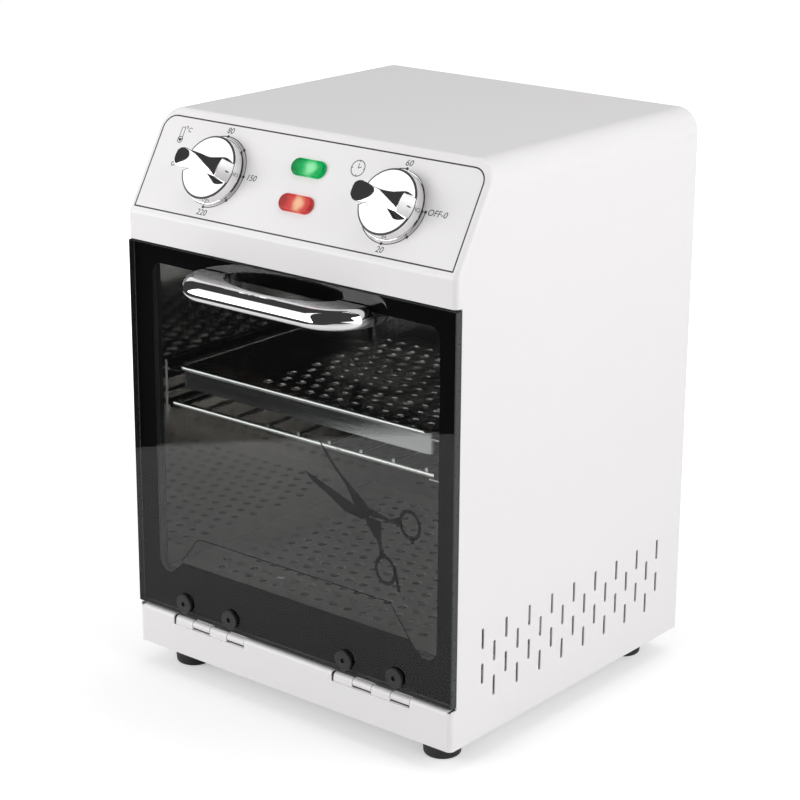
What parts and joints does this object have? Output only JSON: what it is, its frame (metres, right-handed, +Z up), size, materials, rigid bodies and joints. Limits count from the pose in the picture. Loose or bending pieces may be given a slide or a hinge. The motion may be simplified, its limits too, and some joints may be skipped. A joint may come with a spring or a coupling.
{
  "type": "dry heat sterilizer",
  "caption": "Bench-top dry heat sterilizer: white cabinet, slanted dial panel, glass door hinged at its bottom, hot chamber with perforated tray and wire rack.",
  "frame": {"origin": "on the surface the feet stand on, under the middle of the whole outline", "axes": "+X is the cabinet's right seen from the front, +Y points to its rear, +Z up"},
  "size_m": [0.26, 0.276, 0.367],
  "materials": {
    "casing_enamel": "smooth white baked enamel",
    "inner_steel": "galvanised sheet",
    "chamber_steel": "bright polished stainless sheet",
    "tray_steel": "satin stainless",
    "foot_rubber": "matt black rubber",
    "zinc_steel": "zinc plated",
    "white_screw": "white painted head",
    "black_screw": "black oxide",
    "fibre": "pale fibre",
    "seal_silicone": "dark silicone",
    "door_glass": "clear tempered float glass, green at its edges",
    "glass_enamel": "black enamel fired on the inner face",
    "handle_chrome": "bright chrome plating",
    "knob_chrome": "bright chrome plating",
    "green_lens": "lit translucent green",
    "red_lens": "lit translucent red",
    "mineral_wool": "mineral wool board",
    "heater_sheath": "heat tinted sheath",
    "control_plastic": "phenolic moulding",
    "ceramic": "steatite ceramic",
    "brass": "plain brass",
    "copper_tube": "bright copper",
    "inlet_plastic": "black nylon",
    "ferrite": "sintered ferrite"
  },
  "bodies": {
    "cabinet": {"outer_casing": "casing_enamel", "base_plate": "inner_steel", "base_screws": "white_screw", "rubber_feet": "foot_rubber", "foot_screws": "zinc_steel", "foot_nuts": "zinc_steel", "rear_panel": "casing_enamel", "rear_screws": "zinc_steel", "front_frame": "chamber_steel", "door_seal": "seal_silicone", "catch_magnet": "ferrite", "liner_left_wall": "chamber_steel", "liner_right_wall": "chamber_steel", "liner_ceiling": "chamber_steel", "liner_rear_wall": "chamber_steel", "liner_floor": "chamber_steel", "chamber_floor_plate": "tray_steel", "shelf_runner_right": "chamber_steel", "shelf_runner_left": "chamber_steel", "chamber_stand": "inner_steel", "insulation_top": "mineral_wool", "insulation_rear": "mineral_wool", "insulation_bottom": "mineral_wool", "insulation_sides": "mineral_wool", "heat_shield": "inner_steel", "lower_heater": "heater_sheath", "upper_heater": "heater_sheath", "heater_bushes": "ceramic", "heater_clips": "zinc_steel", "thermostat_bulb": "copper_tube", "bulb_clips": "zinc_steel", "thermal_cutout": "ceramic", "terminal_block": "control_plastic", "thermostat": "control_plastic", "timer": "control_plastic", "control_screws": "zinc_steel", "green_lamp_lens": "green_lens", "red_lamp_lens": "red_lens", "lamp_bodies": "control_plastic", "power_inlet": "inlet_plastic", "inlet_pins": "zinc_steel", "inlet_screws": "black_screw", "hinge_fixed_leaves": "casing_enamel", "hinge_pins": "zinc_steel"},
    "door": {"door_glass": "door_glass", "door_border": "glass_enamel", "door_handle": "handle_chrome", "handle_screws": "zinc_steel", "handle_washers": "fibre", "hinge_door_leaves": "casing_enamel", "door_screws": "black_screw", "door_washers": "fibre", "door_nuts": "zinc_steel", "catch_strike": "zinc_steel"},
    "temperature_dial": {"temperature_knob": "knob_chrome", "temperature_shaft": "zinc_steel"},
    "timer_dial": {"timer_knob": "knob_chrome", "timer_shaft": "zinc_steel"},
    "tray": {"perforated_tray": "tray_steel"},
    "rack": {"wire_rack": "chamber_steel"}
  },
  "joints": [
    {"name": "door_hinge", "type": "hinge", "parent": "cabinet", "child": "door", "pos_m": [0, -0.1044, 0.0384], "axis": [1, 0, 0], "range_deg": [0, 90]},
    {"name": "temperature_knob_turn", "type": "hinge", "parent": "cabinet", "child": "temperature_dial", "pos_m": [-0.0702, -0.09041, 0.3358], "axis": [0, 0.8612, -0.5083], "range_deg": [-184, 86]},
    {"name": "timer_knob_turn", "type": "hinge", "parent": "cabinet", "child": "timer_dial", "pos_m": [0.0702, -0.09041, 0.3358], "axis": [0, 0.8612, -0.5083], "range_deg": [-4, 266]},
    {"name": "tray_slide", "type": "slide", "parent": "cabinet", "child": "tray", "axis": [0, -1, 0], "range_m": [0, 0.1502]},
    {"name": "rack_slide", "type": "slide", "parent": "cabinet", "child": "rack", "axis": [0, -1, 0], "range_m": [0, 0.1502]}
  ],
  "couplings": [
    {"joint": "tray_slide", "follows": "door_hinge", "m_per_rad": 0.0955},
    {"joint": "rack_slide", "follows": "door_hinge", "m_per_rad": 0.0955}
  ]
}
